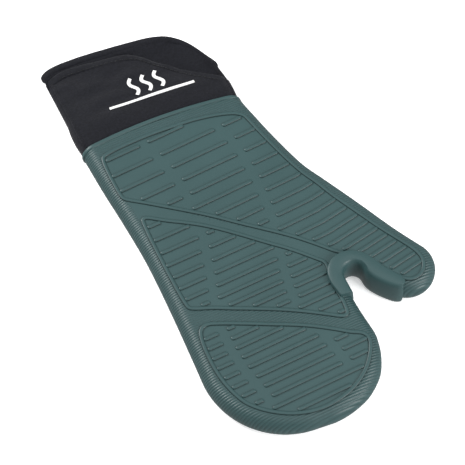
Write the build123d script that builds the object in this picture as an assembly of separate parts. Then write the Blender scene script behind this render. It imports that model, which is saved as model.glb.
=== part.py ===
"""An oven mitt for either hand: a moulded silicone shell over a padded liner, with a sewn fabric cuff.

The mitt lies palm down on a table. +X points to the thumb side, +Y to the mouth of the cuff and +Z up,
out of the back of the hand. Sizes are in millimetres. The outline is drawn with y = 0 at the wrist rim
of the shell and x = 0 midway across the fingers. At the end every piece is moved so that the origin is
the middle of the underside.
"""

import math
import os

from build123d import *

# --- outline of the shell, seen from above ---------------------------------------------------------
HAND_WIDTH = 134.0
SHELL_LENGTH = 288.0
SIDE_LEAN = 4.0             # degrees that the little-finger side leans in where it leaves the tip
SIDE_RADIUS = 1150.0        # hollow curve of the little-finger side
WRIST_BLEND = 100.0         # radius where that side runs into the cuff
CROTCH_RADIUS = 8.5         # half of the gap between the thumb and the fingers
CROTCH_DEPTH = 95.0         # from the fingertip back to the centre of the crotch
THUMB_TIP_RADIUS = 23.5
THUMB_REACH = 49.0          # from the index side out to the centre of the thumb tip
THUMB_TIP_BACK = 86.0       # from the fingertip back to the centre of the thumb tip
THUMB_ANGLE = 25.0          # degrees between the outer side of the thumb and the hand
THUMB_STRAIGHT = 104.0      # length of the straight outer side of the thumb
WRIST_HALF = 72.0           # half of the width that the mouth of the cuff is cut for

# --- thickness -------------------------------------------------------------------------------------
SHELL_THICKNESS = 22.0
EDGE_ROUNDING = 10.4
BEAD_RISE = 1.1
BEAD_WIDTH = 3.0
BEAD_CORNER = 6.0

# --- layers, from the outside in -------------------------------------------------------------------
SHELL_WALL = 2.0
LAYER_GAP = 0.1
WADDING = 3.0
LINING = 0.8
CUFF_PANEL = 2.0            # two plies of cotton with a thin felt between them
HEM_EXTRA = 0.4             # how much thicker the hem is on each side of the panel
CUFF_TUCK = 14.0            # how far the cuff reaches into the shell
PANEL_GAP = 0.2             # between a back piece and a palm piece

# --- crotch bumper ---------------------------------------------------------------------------------
BUMPER_WIDTH = 10.5
BUMPER_RISE = 4.0
BUMPER_INTO_GAP = 2.5
BUMPER_HAND_ARM = 12.0      # how far the arm runs along the fingers past the crotch centre
BUMPER_THUMB_ARM = 22.0     # how far the arm runs along the thumb past the crotch centre
BUMPER_EDGE = 1.8

# --- cuff ------------------------------------------------------------------------------------------
CUFF_LENGTH = 98.0          # on the little-finger side
CUFF_LENGTH_THUMB = 28.0    # on the thumb side, where the mouth is cut back
MOUTH_SETBACK = 9.0         # the back edge of the mouth stands back from the palm edge
HEM_WIDTH = 8.0
SEAM_FLANGE = 1.5
SEAM_THICKNESS = 1.2
STITCH_LENGTH = 3.0
STITCH_PITCH = 4.4
STITCH_WIDTH = 0.6
STITCH_RISE = 0.3
STITCH_FROM_EDGE = 2.0
MARK_WIDTH = 66.0
MARK_HEIGHT = 25.0
MARK_LINE = 3.2
MARK_RISE = 0.2
MARK_CENTRE = (4.0, 33.0)

# --- joints ----------------------------------------------------------------------------------------
FINGER_FOLD_BACK = 76.0     # from the fingertip back to the fold line of the fingers
THUMB_FOLD_TURN = 48.0      # degrees from +X to the fold line of the thumb
FOLD_GAP = 0.4

# --- worked out from the sizes above ---------------------------------------------------------------
HALF = HAND_WIDTH / 2
LOW = BEAD_RISE
MID = LOW + SHELL_THICKNESS / 2
HIGH = LOW + SHELL_THICKNESS
CROTCH = (HALF + CROTCH_RADIUS, CROTCH_DEPTH - SHELL_LENGTH)
THUMB = (HALF + THUMB_REACH, THUMB_TIP_BACK - SHELL_LENGTH)
TIP_Y = HALF - SHELL_LENGTH
FOLD_Y = FINGER_FOLD_BACK - SHELL_LENGTH
FOLD_FOOT = (CROTCH[0], CROTCH[1] + CROTCH_RADIUS)
FAR = 400.0                 # reach of the tools that cut pieces apart
INSET_WADDING = SHELL_WALL + LAYER_GAP
INSET_LINING = INSET_WADDING + WADDING + LAYER_GAP


def polar(centre, radius, degrees):
    """The point at an angle on a circle."""
    a = math.radians(degrees)
    return (centre[0] + radius * math.cos(a), centre[1] + radius * math.sin(a))


def crotch_slant():
    """Angle of the straight that leaves the crotch curve and runs onto the thumb tip."""
    dx = THUMB[0] - CROTCH[0]
    dy = THUMB[1] - CROTCH[1]
    lean = math.asin((CROTCH_RADIUS + THUMB_TIP_RADIUS) / math.hypot(dx, dy))
    return math.degrees(math.atan2(dy, dx) - lean)


def mitt_face(past):
    """The mitt seen from above, with the cuff's sides running on to a distance past the rim."""
    slant = crotch_slant()
    lean = 180 - SIDE_LEAN
    tip_end = polar((0, TIP_Y), HALF, lean)
    thumb_in = polar(THUMB, THUMB_TIP_RADIUS, slant - 90)
    thumb_out = polar(THUMB, THUMB_TIP_RADIUS, THUMB_ANGLE)
    thumb_tip = polar(THUMB, THUMB_TIP_RADIUS, (slant - 90 + THUMB_ANGLE) / 2)
    crotch_out = polar(CROTCH, CROTCH_RADIUS, slant + 90)
    crotch_top = polar(CROTCH, CROTCH_RADIUS, (180 + slant + 90) / 2)
    away = polar((0, 0), 1, THUMB_ANGLE + 90)
    thumb_base = (thumb_out[0] + THUMB_STRAIGHT * away[0], thumb_out[1] + THUMB_STRAIGHT * away[1])
    outer_radius = -thumb_base[1] / math.sin(math.radians(THUMB_ANGLE))
    outer = JernArc(thumb_base, away, outer_radius, -THUMB_ANGLE)
    side_turn = math.degrees(math.asin(-tip_end[1] / SIDE_RADIUS - math.sin(math.radians(SIDE_LEAN))))
    side = JernArc(tip_end, polar((0, 0), 1, 90 - SIDE_LEAN), SIDE_RADIUS, SIDE_LEAN + side_turn)
    blend = JernArc(side @ 1, side % 1, WRIST_BLEND, -side_turn)
    right_x = (outer @ 1).X
    left_x = (blend @ 1).X
    edges = Curve() + [
        ThreePointArc(tip_end, (0, -SHELL_LENGTH), (HALF, TIP_Y)),
        Line((HALF, TIP_Y), (HALF, CROTCH[1])),
        ThreePointArc((HALF, CROTCH[1]), crotch_top, crotch_out),
        Line(crotch_out, thumb_in),
        ThreePointArc(thumb_in, thumb_tip, thumb_out),
        Line(thumb_out, thumb_base),
        outer,
        Polyline(outer @ 1, (right_x, past), (left_x, past), blend @ 1),
        blend,
        side,
    ]
    return make_face(edges)


def pillow(face, inset):
    """A closed cushion over an outline: flat above and below, round at the sides, shrunk by an inset."""
    shrunk = offset(face, -inset) if inset else face
    block = extrude(shrunk, SHELL_THICKNESS - 2 * inset)
    block = Pos(0, 0, LOW + inset) * block
    flats = block.edges().filter_by(lambda e: abs(e.center().Z - MID) > SHELL_THICKNESS / 2 - inset - 0.01)
    for share in (1.0, 0.97, 0.94, 0.9, 0.8, 0.6, 0.4, 0.25):
        try:
            rounded = fillet(flats, share * (EDGE_ROUNDING - inset))
        except ValueError:
            continue
        if rounded.is_valid and (block - rounded).volume < 0.2 * block.volume:
            return rounded
    return block


def slab(y0, y1):
    """A block that keeps everything between two distances from the rim."""
    return Pos(0, (y0 + y1) / 2, 0) * Box(FAR, y1 - y0, FAR)


def above(z):
    """A block that keeps everything above a height."""
    return Pos(0, 0, z + FAR / 2) * Box(3 * FAR, 3 * FAR, FAR)


def below(z):
    """A block that keeps everything below a height."""
    return Pos(0, 0, z - FAR / 2) * Box(3 * FAR, 3 * FAR, FAR)


def fold_tools():
    """The three blocks that part the hand, the fingers and the thumb along their fold lines."""
    turn = Pos(FOLD_FOOT[0], FOLD_FOOT[1], 0) * Rot(0, 0, THUMB_FOLD_TURN)
    beyond_thumb = turn * Pos(FAR / 2, -FAR / 2 - FOLD_GAP / 2, 0) * Box(FAR, FAR, FAR)
    crotch_line = CROTCH[0]
    not_thumb = Pos(crotch_line - FAR / 2, 0, 0) * Box(FAR, 3 * FAR, FAR)
    thumb = beyond_thumb & Pos(crotch_line + FAR / 2, 0, 0) * Box(FAR, 3 * FAR, FAR)
    keep_hand = turn * Pos(0, FAR / 2 + FOLD_GAP / 2, 0) * Box(3 * FAR, FAR, FAR)
    hand_low = not_thumb & slab(FOLD_Y + FOLD_GAP / 2, FAR)
    hand = (keep_hand & slab(FOLD_Y + FOLD_GAP / 2, FAR)) + hand_low
    fingers = not_thumb & slab(-FAR, FOLD_Y - FOLD_GAP / 2)
    return {"hand": hand, "fingers": fingers, "thumb": thumb}


def bead_paths():
    """The centre lines of the three raised panel borders, each a closed outline with rounded corners."""
    inset = 12.0
    left = -HALF + inset
    tip = inset - SHELL_LENGTH
    band = -SHELL_LENGTH + 113
    sleeve = [
        (left - 3, -54),
        (12, -119),
        (FOLD_FOOT[0] - 4, -172),
        (FOLD_FOOT[0] + 12, -175),
        polar(THUMB, THUMB_TIP_RADIUS - 9, -110),
        polar(THUMB, THUMB_TIP_RADIUS - 9, -30),
        polar(THUMB, THUMB_TIP_RADIUS - 9, THUMB_ANGLE),
        (WRIST_HALF + 6, -92),
        (WRIST_HALF - 11, -25),
        (left - 2, -9),
    ]
    middle = [(left + 1, -76), (12, -124), (53, -170), (56, -224), (left + 2, band + 10)]
    fingers = [
        (left + 2, band - 4),
        (56, -240),
        (50, -262),
        (24, tip + 7),
        (0, tip),
        (-24, tip + 7),
        (-48, -262),
    ]
    return [sleeve, middle, fingers]


def beads():
    """The raised round-cornered borders on the back and on the palm of the shell."""
    solids = []
    for points in bead_paths():
        panel = make_face(Polyline(*points, close=True))
        panel = offset(offset(panel, -BEAD_CORNER), BEAD_CORNER)
        strip = offset(panel, BEAD_WIDTH / 2) - offset(panel, -BEAD_WIDTH / 2)
        for z in (LOW - BEAD_RISE, HIGH - 0.5):
            solids.append(Pos(0, 0, z) * extrude(strip, BEAD_RISE + 0.5))
    return solids


def bumper():
    """The thick pad moulded round the crotch, standing proud of the back, the palm and the gap."""
    slant = crotch_slant()
    outer = CROTCH_RADIUS + BUMPER_WIDTH
    inner = CROTCH_RADIUS - BUMPER_INTO_GAP
    hand_end = (CROTCH[0], CROTCH[1] - BUMPER_HAND_ARM)
    thumb_end = polar(CROTCH, BUMPER_THUMB_ARM, slant)
    spine = Polyline(hand_end, CROTCH, thumb_end)
    pad = Face(Wire.make_circle(outer).moved(Pos(*CROTCH)))
    gap = Face(Wire.make_circle(inner).moved(Pos(*CROTCH)))
    for end, width in ((hand_end, outer), (thumb_end, outer)):
        pad += arm(CROTCH, end, width)
    for end, width in ((hand_end, inner), (thumb_end, inner)):
        gap += arm(CROTCH, polar(CROTCH, FAR / 2, math.degrees(math.atan2(end[1] - CROTCH[1], end[0] - CROTCH[0]))), width)
    side = pad - gap
    block = extrude(side, HIGH + BUMPER_RISE)
    lips = block.edges().filter_by(lambda e: e.center().Z > HIGH + BUMPER_RISE - 0.01)
    try:
        return fillet(lips, BUMPER_EDGE)
    except ValueError:
        return block


def arm(start, end, half_width):
    """A straight strip between two points."""
    length = math.hypot(end[0] - start[0], end[1] - start[1])
    turn = math.degrees(math.atan2(end[1] - start[1], end[0] - start[0]))
    return Pos(*start) * Rot(0, 0, turn) * Pos(length / 2, 0) * Rectangle(length, 2 * half_width)


def biggest(shape):
    """The largest solid of a shape, without slivers that a cut may leave."""
    return max(shape.solids(), key=lambda s: s.volume)


def mouth_area(setback):
    """Everything on the wrist side of the mouth edge, seen from above."""
    left = -WRIST_HALF
    right = WRIST_HALF
    high = CUFF_LENGTH - setback
    low = CUFF_LENGTH_THUMB - setback / 4
    bend = (WRIST_HALF - 20, high - 22)
    edge = Spline((left, high), (8, high - 4), bend, (right, low), tangents=[(1, 0), (0.2, -1)])
    rest = Polyline((right, low), (FAR, low), (FAR, -FAR), (-FAR, -FAR), (-FAR, high), (left, high))
    return make_face(Curve() + [edge, rest])


def build():
    """Every piece by name, in the drawing's own position."""
    long_face = mitt_face(FAR / 2)
    shapes = {}
    outer = pillow(long_face, 0)
    shell_solid = outer
    cavity = pillow(long_face, SHELL_WALL)
    for bead in beads():
        shell_solid += bead
    pad = bumper()
    pad_whole = pad - outer
    shell = (shell_solid - cavity - pad_whole) & slab(-FAR, 0)
    tools = fold_tools()
    wad_skin = pillow(long_face, INSET_WADDING)
    wad_core = pillow(long_face, INSET_WADDING + WADDING)
    lin_skin = pillow(long_face, INSET_LINING)
    lin_core = pillow(long_face, INSET_LINING + LINING)
    wadding = (wad_skin - wad_core) & slab(-FAR, -CUFF_TUCK - 0.5)
    lining = (lin_skin - lin_core) & slab(-FAR, 0)
    halves = {"back": above(MID + PANEL_GAP / 2), "palm": below(MID - PANEL_GAP / 2)}
    for body, tool in tools.items():
        shapes["shell_" + body] = biggest(shell & tool)
        for side, half in halves.items():
            shapes["wadding_" + side + "_" + body] = biggest(wadding & tool & half)
            shapes["lining_" + side + "_" + body] = biggest(lining & tool & half)
    for body in ("hand", "thumb"):
        shapes["bumper_" + body] = pad_whole & tools[body]
    shapes.update(cuff(long_face, outer, wad_skin, halves))
    return shapes


def cuff(long_face, outer, tucked, halves):
    """The fabric cuff: two panels, a hem on each, two side seams, the stitching and the printed mark."""
    shapes = {}
    inside = pillow(long_face, CUFF_PANEL)
    tuck_core = pillow(long_face, INSET_WADDING + CUFF_PANEL)
    hem_core = pillow(long_face, CUFF_PANEL + HEM_EXTRA)
    tube = (outer - inside) & slab(FOLD_GAP, FAR)
    web = (outer - tuck_core) & slab(FOLD_GAP, FOLD_GAP + CUFF_PANEL)
    tuck = (tucked - tuck_core) & slab(-CUFF_TUCK, FOLD_GAP)
    whole = tube + web + tuck
    for side, setback in (("back", MOUTH_SETBACK), ("palm", 0)):
        area = mouth_area(setback)
        body = mouth_area(setback + HEM_WIDTH)
        keep = Pos(0, 0, -FAR / 2) * extrude(area, FAR)
        panel = Pos(0, 0, -FAR / 2) * extrude(body, FAR)
        shapes["cuff_" + side] = biggest(whole & halves[side] & panel)
        band = (outer - hem_core) & halves[side] & (keep - panel)
        shapes["hem_" + side] = biggest(band)
        shapes["hem_stitching_" + side] = stitches(setback, side)
    ring = offset(long_face, SEAM_FLANGE) - long_face
    flange = Pos(0, 0, MID - SEAM_THICKNESS / 2) * extrude(ring, SEAM_THICKNESS)
    left = flange & Box(2 * FAR, 2 * FAR, FAR, align=(Align.MAX, Align.CENTER, Align.CENTER))
    right = flange - Box(2 * FAR, 2 * FAR, FAR, align=(Align.MAX, Align.CENTER, Align.CENTER))
    shapes["side_seam_little"] = biggest(left & slab(1, CUFF_LENGTH - MOUTH_SETBACK - 3))
    shapes["side_seam_thumb"] = biggest(right & slab(1, CUFF_LENGTH_THUMB - MOUTH_SETBACK / 2))
    shapes["heat_mark"] = mark()
    return shapes


def stitches(setback, side):
    """A row of stitches along the hem."""
    edge = mouth_area(setback + HEM_WIDTH - STITCH_FROM_EDGE).edges().sort_by(Axis.Y)
    curve = max((e for e in edge if e.geom_type == GeomType.BSPLINE), key=lambda e: e.length)
    count = int(curve.length / STITCH_PITCH)
    z = HIGH if side == "back" else LOW - STITCH_RISE
    row = []
    for i in range(1, count):
        place = curve.position_at(i / count)
        turn = curve.tangent_at(i / count)
        if abs(place.X) < HALF - EDGE_ROUNDING:
            stitch = Box(STITCH_LENGTH, STITCH_WIDTH, STITCH_RISE, align=(Align.CENTER, Align.CENTER, Align.MIN))
            row.append(Pos(place.X, place.Y, z) * Rot(0, 0, math.degrees(math.atan2(turn.Y, turn.X))) * stitch)
    return Compound(children=row)


def mark():
    """Three rising heat waves over a bar, printed on the back of the cuff."""
    bar = Pos(0, -MARK_HEIGHT / 2 + MARK_LINE / 2) * Rectangle(MARK_WIDTH, MARK_LINE)
    lines = [Pos(0, 0, 0) * extrude(bar, MARK_RISE)]
    low = -MARK_HEIGHT / 2 + 2.5 * MARK_LINE
    high = MARK_HEIGHT / 2
    middle = (low + high) / 2
    for i in (-1, 0, 1):
        x = i * MARK_WIDTH / 4
        wave = Spline((x, low), (x + MARK_LINE, (low + middle) / 2), (x, middle), (x - MARK_LINE, (middle + high) / 2), (x, high))
        lines.append(extrude(trace(wave, MARK_LINE), MARK_RISE))
    return Pos(MARK_CENTRE[0], MARK_CENTRE[1], HIGH) * Compound(children=lines)


def main():
    """Build the pieces, put the origin under the middle of the mitt and write one file each."""
    shapes = build()
    boxes = [shape.bounding_box() for shape in shapes.values()]
    low = [min(getattr(b.min, axis) for b in boxes) for axis in "XYZ"]
    high = [max(getattr(b.max, axis) for b in boxes) for axis in "XYZ"]
    shift = Pos(-(low[0] + high[0]) / 2, -(low[1] + high[1]) / 2, -low[2])
    os.makedirs("parts", exist_ok=True)
    for name, shape in shapes.items():
        export_step(shift * shape, "parts/" + name + ".step")


if __name__ == "__main__":
    main()
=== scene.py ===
"""A ribbed silicone oven mitt with a black cotton cuff, lying palm down on a pale studio floor."""

import logging
import math
from dataclasses import dataclass, field
from enum import Enum
from typing import Callable, Sequence
import bmesh
import bpy
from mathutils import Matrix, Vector, geometry, noise


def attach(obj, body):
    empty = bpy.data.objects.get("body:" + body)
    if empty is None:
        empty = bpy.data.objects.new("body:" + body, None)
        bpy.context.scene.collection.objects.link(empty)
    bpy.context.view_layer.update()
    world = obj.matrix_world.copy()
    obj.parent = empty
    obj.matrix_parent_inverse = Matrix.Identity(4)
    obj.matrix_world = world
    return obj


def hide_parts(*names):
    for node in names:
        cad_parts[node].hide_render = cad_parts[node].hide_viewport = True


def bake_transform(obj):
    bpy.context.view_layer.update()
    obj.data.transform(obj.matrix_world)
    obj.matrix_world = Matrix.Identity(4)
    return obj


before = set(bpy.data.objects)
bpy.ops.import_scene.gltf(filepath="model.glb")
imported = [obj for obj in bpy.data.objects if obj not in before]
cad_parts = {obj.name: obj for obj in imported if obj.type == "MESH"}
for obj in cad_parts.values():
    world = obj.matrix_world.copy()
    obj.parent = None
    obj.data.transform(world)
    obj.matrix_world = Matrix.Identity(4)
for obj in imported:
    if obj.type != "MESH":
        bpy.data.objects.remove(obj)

LOG = logging.getLogger("mitt")
MM = 0.001
Point2 = tuple[float, float]
Point3 = tuple[float, float, float]
Corners = tuple[int, ...]
Piece = bpy.types.Object
Tree = bpy.types.NodeTree
Socket = bpy.types.NodeSocket
Curve = Callable[[float], float]

# The pattern is drawn with its origin on the hand, and moved by this much to the frame's own origin.
PATTERN_SHIFT = (-20.59, -13.08)
# The sewing thread's stitches, in millimetres.
STITCH_PITCH = 4.2
STITCH_LENGTH = 3.0
# The stretch of the pattern that the flat faces' inner points cover.
GRID_FROM = (-80.0, -176.0)
GRID_TO = (128.0, 112.0)
# Where a rib's line is tried against a panel, and how far its sides stay off the border.
SCAN_START = -85
SCAN_STEP = 0.5
SCAN_COUNT = 430
RIB_CLEARANCE = 0.4
# How strongly each point across a raised line is darkened with painted shade, from foot to foot: fully at the
# feet, where the line meets the skin.
STRIP_PAINTED_SHADE = (1.0, 0.7, 0.1, 0.0, 0.0, 0.0, 0.1, 0.7, 1.0)


class Part(Enum):
    """The two sides of the moulding's cut line."""

    SLEEVE = "sleeve_and_thumb"
    FINGERS = "hand_and_fingers"


class Face(Enum):
    """Which material a patch of the moulding takes."""

    PLAIN = 0
    RIBBED = 1


def to_frame(x: float, y: float, z: float) -> Vector:
    """Turn a pattern point in millimetres into a frame point in metres."""
    return Vector(((x + PATTERN_SHIFT[0]) * MM, (y + PATTERN_SHIFT[1]) * MM, z * MM))


def linear(hex_colour: str) -> tuple[float, float, float, float]:
    """Turn an sRGB hex colour into linear light.

    Args:
        hex_colour: Six hex digits, with or without a leading #.

    Returns:
        Red, green, blue and alpha, linear.
    """
    digits = hex_colour.lstrip("#")
    parts = [int(digits[i : i + 2], 16) / 255 for i in (0, 2, 4)]
    lin = [c / 12.92 if c <= 0.04045 else ((c + 0.055) / 1.055) ** 2.4 for c in parts]
    return (lin[0], lin[1], lin[2], 1.0)


def inside(point: Point2, outline: Sequence[Point2]) -> bool:
    """Say whether a point lies inside a closed outline."""
    x, y = point
    hit = False
    for i, (x0, y0) in enumerate(outline):
        x1, y1 = outline[i - 1]
        if (y0 > y) != (y1 > y) and x < (x1 - x0) * (y - y0) / (y1 - y0) + x0:
            hit = not hit
    return hit


def resample(points: Sequence[Point2], step: float, closed: bool = False) -> list[Point2]:
    """Space points evenly along a polyline.

    Args:
        points: Corners of the line.
        step: Wanted spacing, in the line's own unit.
        closed: Whether the last point runs back to the first.

    Returns:
        Evenly spaced points; a closed line doesn't repeat its first point.
    """
    line = [Vector(p) for p in points]
    if closed:
        line.append(line[0])
    lengths = [0.0]
    for a, b in zip(line, line[1:]):
        lengths.append(lengths[-1] + (b - a).length)
    count = max(2, round(lengths[-1] / step))
    out: list[Point2] = []
    k = 0
    for i in range(count if closed else count + 1):
        want = lengths[-1] * i / count
        while k < len(lengths) - 2 and lengths[k + 1] < want:
            k += 1
        span = lengths[k + 1] - lengths[k] or 1.0
        p = line[k].lerp(line[k + 1], (want - lengths[k]) / span)
        out.append((p.x, p.y))
    return out


def rounded(points: Sequence[Point2], passes: int = 2, closed: bool = True) -> list[Point2]:
    """Soften the corners of a polyline by cutting them twice or more."""
    line = list(points)
    for _ in range(passes):
        new: list[Point2] = [] if closed else [line[0]]
        last = len(line) if closed else len(line) - 1
        for i in range(last):
            (x0, y0), (x1, y1) = line[i], line[(i + 1) % len(line)]
            new.append((0.75 * x0 + 0.25 * x1, 0.75 * y0 + 0.25 * y1))
            new.append((0.25 * x0 + 0.75 * x1, 0.25 * y0 + 0.75 * y1))
        if not closed:
            new.append(line[-1])
        line = new
    return line


def arc(centre: Point2, radius: float, start: float, end: float, steps: int = 24) -> list[Point2]:
    """Points along a circle between two angles in degrees."""
    angles = [math.radians(start + (end - start) * i / steps) for i in range(steps + 1)]
    return [(centre[0] + radius * math.cos(a), centre[1] + radius * math.sin(a)) for a in angles]


def curve_through(points: Sequence[Point2], steps: int = 8) -> list[Point2]:
    """A smooth curve through points."""
    pts = [Vector(p) for p in points]
    pts = [2 * pts[0] - pts[1], *pts, 2 * pts[-1] - pts[-2]]
    out: list[Point2] = []
    for a, b, c, d in zip(pts, pts[1:], pts[2:], pts[3:]):
        for i in range(steps):
            t = i / steps
            square, cube = 2 * a - 5 * b + 4 * c - d, 3 * b - a - 3 * c + d
            p = 0.5 * (2 * b + (c - a) * t + square * t**2 + cube * t**3)
            out.append((p.x, p.y))
    out.append((pts[-2].x, pts[-2].y))
    return out


def value_at(curve: Sequence[Point2], x: float) -> float:
    """The height of a left-to-right curve at x."""
    if x <= curve[0][0]:
        return curve[0][1]
    for (x0, y0), (x1, y1) in zip(curve, curve[1:]):
        if x <= x1:
            return y0 + (y1 - y0) * (x - x0) / ((x1 - x0) or 1.0)
    return curve[-1][1]


def across(line: Sequence[Point2], i: int, closed: bool = False) -> Point2:
    """The unit normal of a polyline at one of its points, to the left of the way that it runs."""
    (x0, y0), (x1, y1) = line[max(0, i - 1)], line[min(len(line) - 1, i + 1)]
    if closed:
        (x0, y0), (x1, y1) = line[i - 1], line[(i + 1) % len(line)]
    length = math.hypot(x1 - x0, y1 - y0) or 1.0
    return -(y1 - y0) / length, (x1 - x0) / length


def grid_faces(rows: int, columns: int, closed: bool = False, flip: bool = False) -> list[Corners]:
    """Faces between neighbouring rows of points; closed rows join their last point to their first."""
    faces: list[Corners] = []
    for r in range(rows - 1):
        for k in range(columns if closed else columns - 1):
            a, b = r * columns + k, r * columns + (k + 1) % columns
            faces.append((a, a + columns, b + columns, b) if flip else (a, b, b + columns, a + columns))
    return faces


def end_faces(rows: int, columns: int, flip: bool = False) -> list[Corners]:
    """The two faces that close the ends of a tube made of rows of points."""
    first = tuple(range(columns))
    last = tuple((rows - 1) * columns + k for k in range(columns))
    return [first, last[::-1]] if flip else [first[::-1], last]


def new_piece(name: str, verts: Sequence[Vector], faces: Sequence[Sequence[int]]) -> Piece:
    """Make a smooth mesh object in the frame from points and faces.

    Args:
        name: The piece's name.
        verts: Points in metres in the frame.
        faces: Corner indices of each face.

    Returns:
        The linked object, with its place in its mesh.
    """
    mesh = bpy.data.meshes.new(name)
    mesh.from_pydata([tuple(v) for v in verts], [], [tuple(f) for f in faces])
    mesh.update()
    piece = bpy.data.objects.new(name, mesh)
    bpy.context.scene.collection.objects.link(piece)
    mesh.shade_smooth()
    return piece


def tidy(piece: Piece, merge: float = 1e-5) -> Piece:
    """Merge doubles, turn the faces outward and give the piece back."""
    bm = bmesh.new()
    bm.from_mesh(piece.data)
    bmesh.ops.remove_doubles(bm, verts=bm.verts, dist=merge)
    bmesh.ops.recalc_face_normals(bm, faces=bm.faces)
    bm.to_mesh(piece.data)
    bm.free()
    return piece


def thicken(piece: Piece, thickness: float) -> None:
    """Give a surface a wall on its inner side and apply it."""
    modifier = piece.modifiers.new("wall", "SOLIDIFY")
    modifier.thickness = thickness * MM
    modifier.offset = -1.0
    apply_all(piece)


def pick(*pieces: Piece) -> None:
    """Select only these pieces, with the first one active."""
    bpy.ops.object.select_all(action="DESELECT")
    for piece in pieces:
        piece.select_set(True)
    bpy.context.view_layer.objects.active = pieces[0]


def apply_all(piece: Piece) -> None:
    """Apply every modifier of a piece."""
    pick(piece)
    for modifier in list(piece.modifiers):
        bpy.ops.object.modifier_apply(modifier=modifier.name)
    piece.select_set(False)


def crisp(piece: Piece, degrees: float = 40.0) -> None:
    """Shade a piece smooth, but keep the edges that turn by more than an angle sharp."""
    pick(piece)
    bpy.ops.object.shade_smooth_by_angle(angle=math.radians(degrees))
    piece.select_set(False)


def join(pieces: Sequence[Piece], name: str) -> Piece:
    """Join pieces into one and name it."""
    pick(*pieces)
    bpy.ops.object.join()
    whole = bpy.context.view_layer.objects.active
    whole.name = name
    whole.data.name = name
    whole.select_set(False)
    return whole


def add_node(tree: Tree, kind: str, inputs: dict | None = None, **settings: object) -> bpy.types.Node:
    """Add a shader node with its settings, and link or set its inputs.

    Args:
        tree: The node tree.
        kind: Blender's node type name.
        inputs: Input name or number to a value, or to an output socket to link.
        **settings: Attributes of the node.

    Returns:
        The node.
    """
    node = tree.nodes.new(kind)
    for key, value in settings.items():
        setattr(node, key, value)
    for key, value in (inputs or {}).items():
        if isinstance(value, Socket):
            tree.links.new(value, node.inputs[key])
        else:
            node.inputs[key].default_value = value
    return node


def blank_material(name: str) -> tuple[bpy.types.Material, Tree, bpy.types.Node]:
    """A material with only its Principled shader."""
    material = bpy.data.materials.new(name)
    material.use_nodes = True
    tree = material.node_tree
    return material, tree, tree.nodes["Principled BSDF"]


def mottle(tree: Tree, amount: Socket, deep: str, light: str) -> Socket:
    """A colour that wanders between two hex colours."""
    mix = add_node(tree, "ShaderNodeMix", {0: amount, 6: linear(deep), 7: linear(light)}, data_type="RGBA")
    return mix.outputs[2]


@dataclass(frozen=True)
class MouldedSilicone:
    """Food-grade silicone, compression moulded in a lightly etched tool: a satin, slightly hazy skin."""

    name: str = "moulded_silicone"
    colour: str = "304A4B"
    deep_colour: str = "284142"
    foot_shade_share: float = 0.12      # painted shade: how bright the foot of a rib or the bottom of a groove is painted
    roughness: float = 0.44
    fine_rib_pitch: float = 2.0     # mm, gripping lines moulded across the border
    fine_rib_depth: float = 0.28    # mm
    fine_line_shade_share: float = 0.78    # painted shade: how bright the bottom of a fine line is painted
    etch_grain: float = 0.5         # mm, coarser than the tool's real etching so that it shows

    def lines(self, tree: Tree, place: Socket) -> Socket:
        """The height of the fine gripping lines, which cross the hand."""
        scale = 2 * math.pi / (20 * self.fine_rib_pitch * MM)
        wave = add_node(tree, "ShaderNodeTexWave", {"Vector": place, "Scale": scale}, bands_direction="Y")
        return wave.outputs["Fac"]

    @staticmethod
    def paint_shade(tree: Tree, colour: Socket, amount: Socket, share: float) -> Socket:
        """Paint shade into a colour: darken it to a share of itself where an amount is one, as shade falls in
        a groove.
        """
        grey = (share, share, share, 1.0)
        dark = add_node(
            tree, "ShaderNodeMix", {0: 1.0, 6: colour, 7: grey}, data_type="RGBA", blend_type="MULTIPLY"
        )
        mixed = add_node(tree, "ShaderNodeMix", {0: amount, 6: colour, 7: dark.outputs[2]}, data_type="RGBA")
        return mixed.outputs[2]

    def build(self, ribbed: bool) -> bpy.types.Material:
        """Make the material, with the fine gripping lines or without."""
        material, tree, shader = blank_material(self.name + ("_ribbed" if ribbed else ""))
        place = add_node(tree, "ShaderNodeTexCoord").outputs["Object"]
        cloud = add_node(tree, "ShaderNodeTexNoise", {"Vector": place, "Scale": 22.0, "Detail": 3.0})
        painted_foot_shade = add_node(tree, "ShaderNodeAttribute", attribute_name="painted_foot_shade").outputs["Fac"]
        shade = mottle(tree, cloud.outputs["Fac"], self.deep_colour, self.colour)
        if ribbed:
            lines = self.lines(tree, place)
            # Painted shade in the bottoms of the fine gripping lines.
            deep = add_node(tree, "ShaderNodeMapRange", {"Value": lines, "From Min": 0.45, "From Max": 0.0})
            shade = self.paint_shade(tree, shade, deep.outputs[0], self.fine_line_shade_share)
        # Painted shade at the feet of the ribs and panel borders, from the per-point attribute.
        shade = self.paint_shade(tree, shade, painted_foot_shade, self.foot_shade_share)
        tree.links.new(shade, shader.inputs["Base Color"])
        grain = add_node(
            tree, "ShaderNodeTexNoise", {"Vector": place, "Scale": 1 / (self.etch_grain * MM), "Detail": 2.0}
        )
        satin = add_node(
            tree, "ShaderNodeMapRange",
            {"Value": cloud.outputs["Fac"], "To Min": self.roughness - 0.05, "To Max": self.roughness + 0.06},
        )
        tree.links.new(satin.outputs["Result"], shader.inputs["Roughness"])
        shader.inputs["IOR"].default_value = 1.42
        shader.inputs["Specular IOR Level"].default_value = 0.5
        bump = add_node(
            tree, "ShaderNodeBump", {"Height": grain.outputs["Fac"], "Strength": 0.12, "Distance": 0.1 * MM}
        )
        if ribbed:
            bump = add_node(
                tree, "ShaderNodeBump",
                {"Height": lines, "Strength": 1.0, "Distance": self.fine_rib_depth * MM,
                 "Normal": bump.outputs["Normal"]},
            )
        tree.links.new(bump.outputs["Normal"], shader.inputs["Normal"])
        return material


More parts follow.
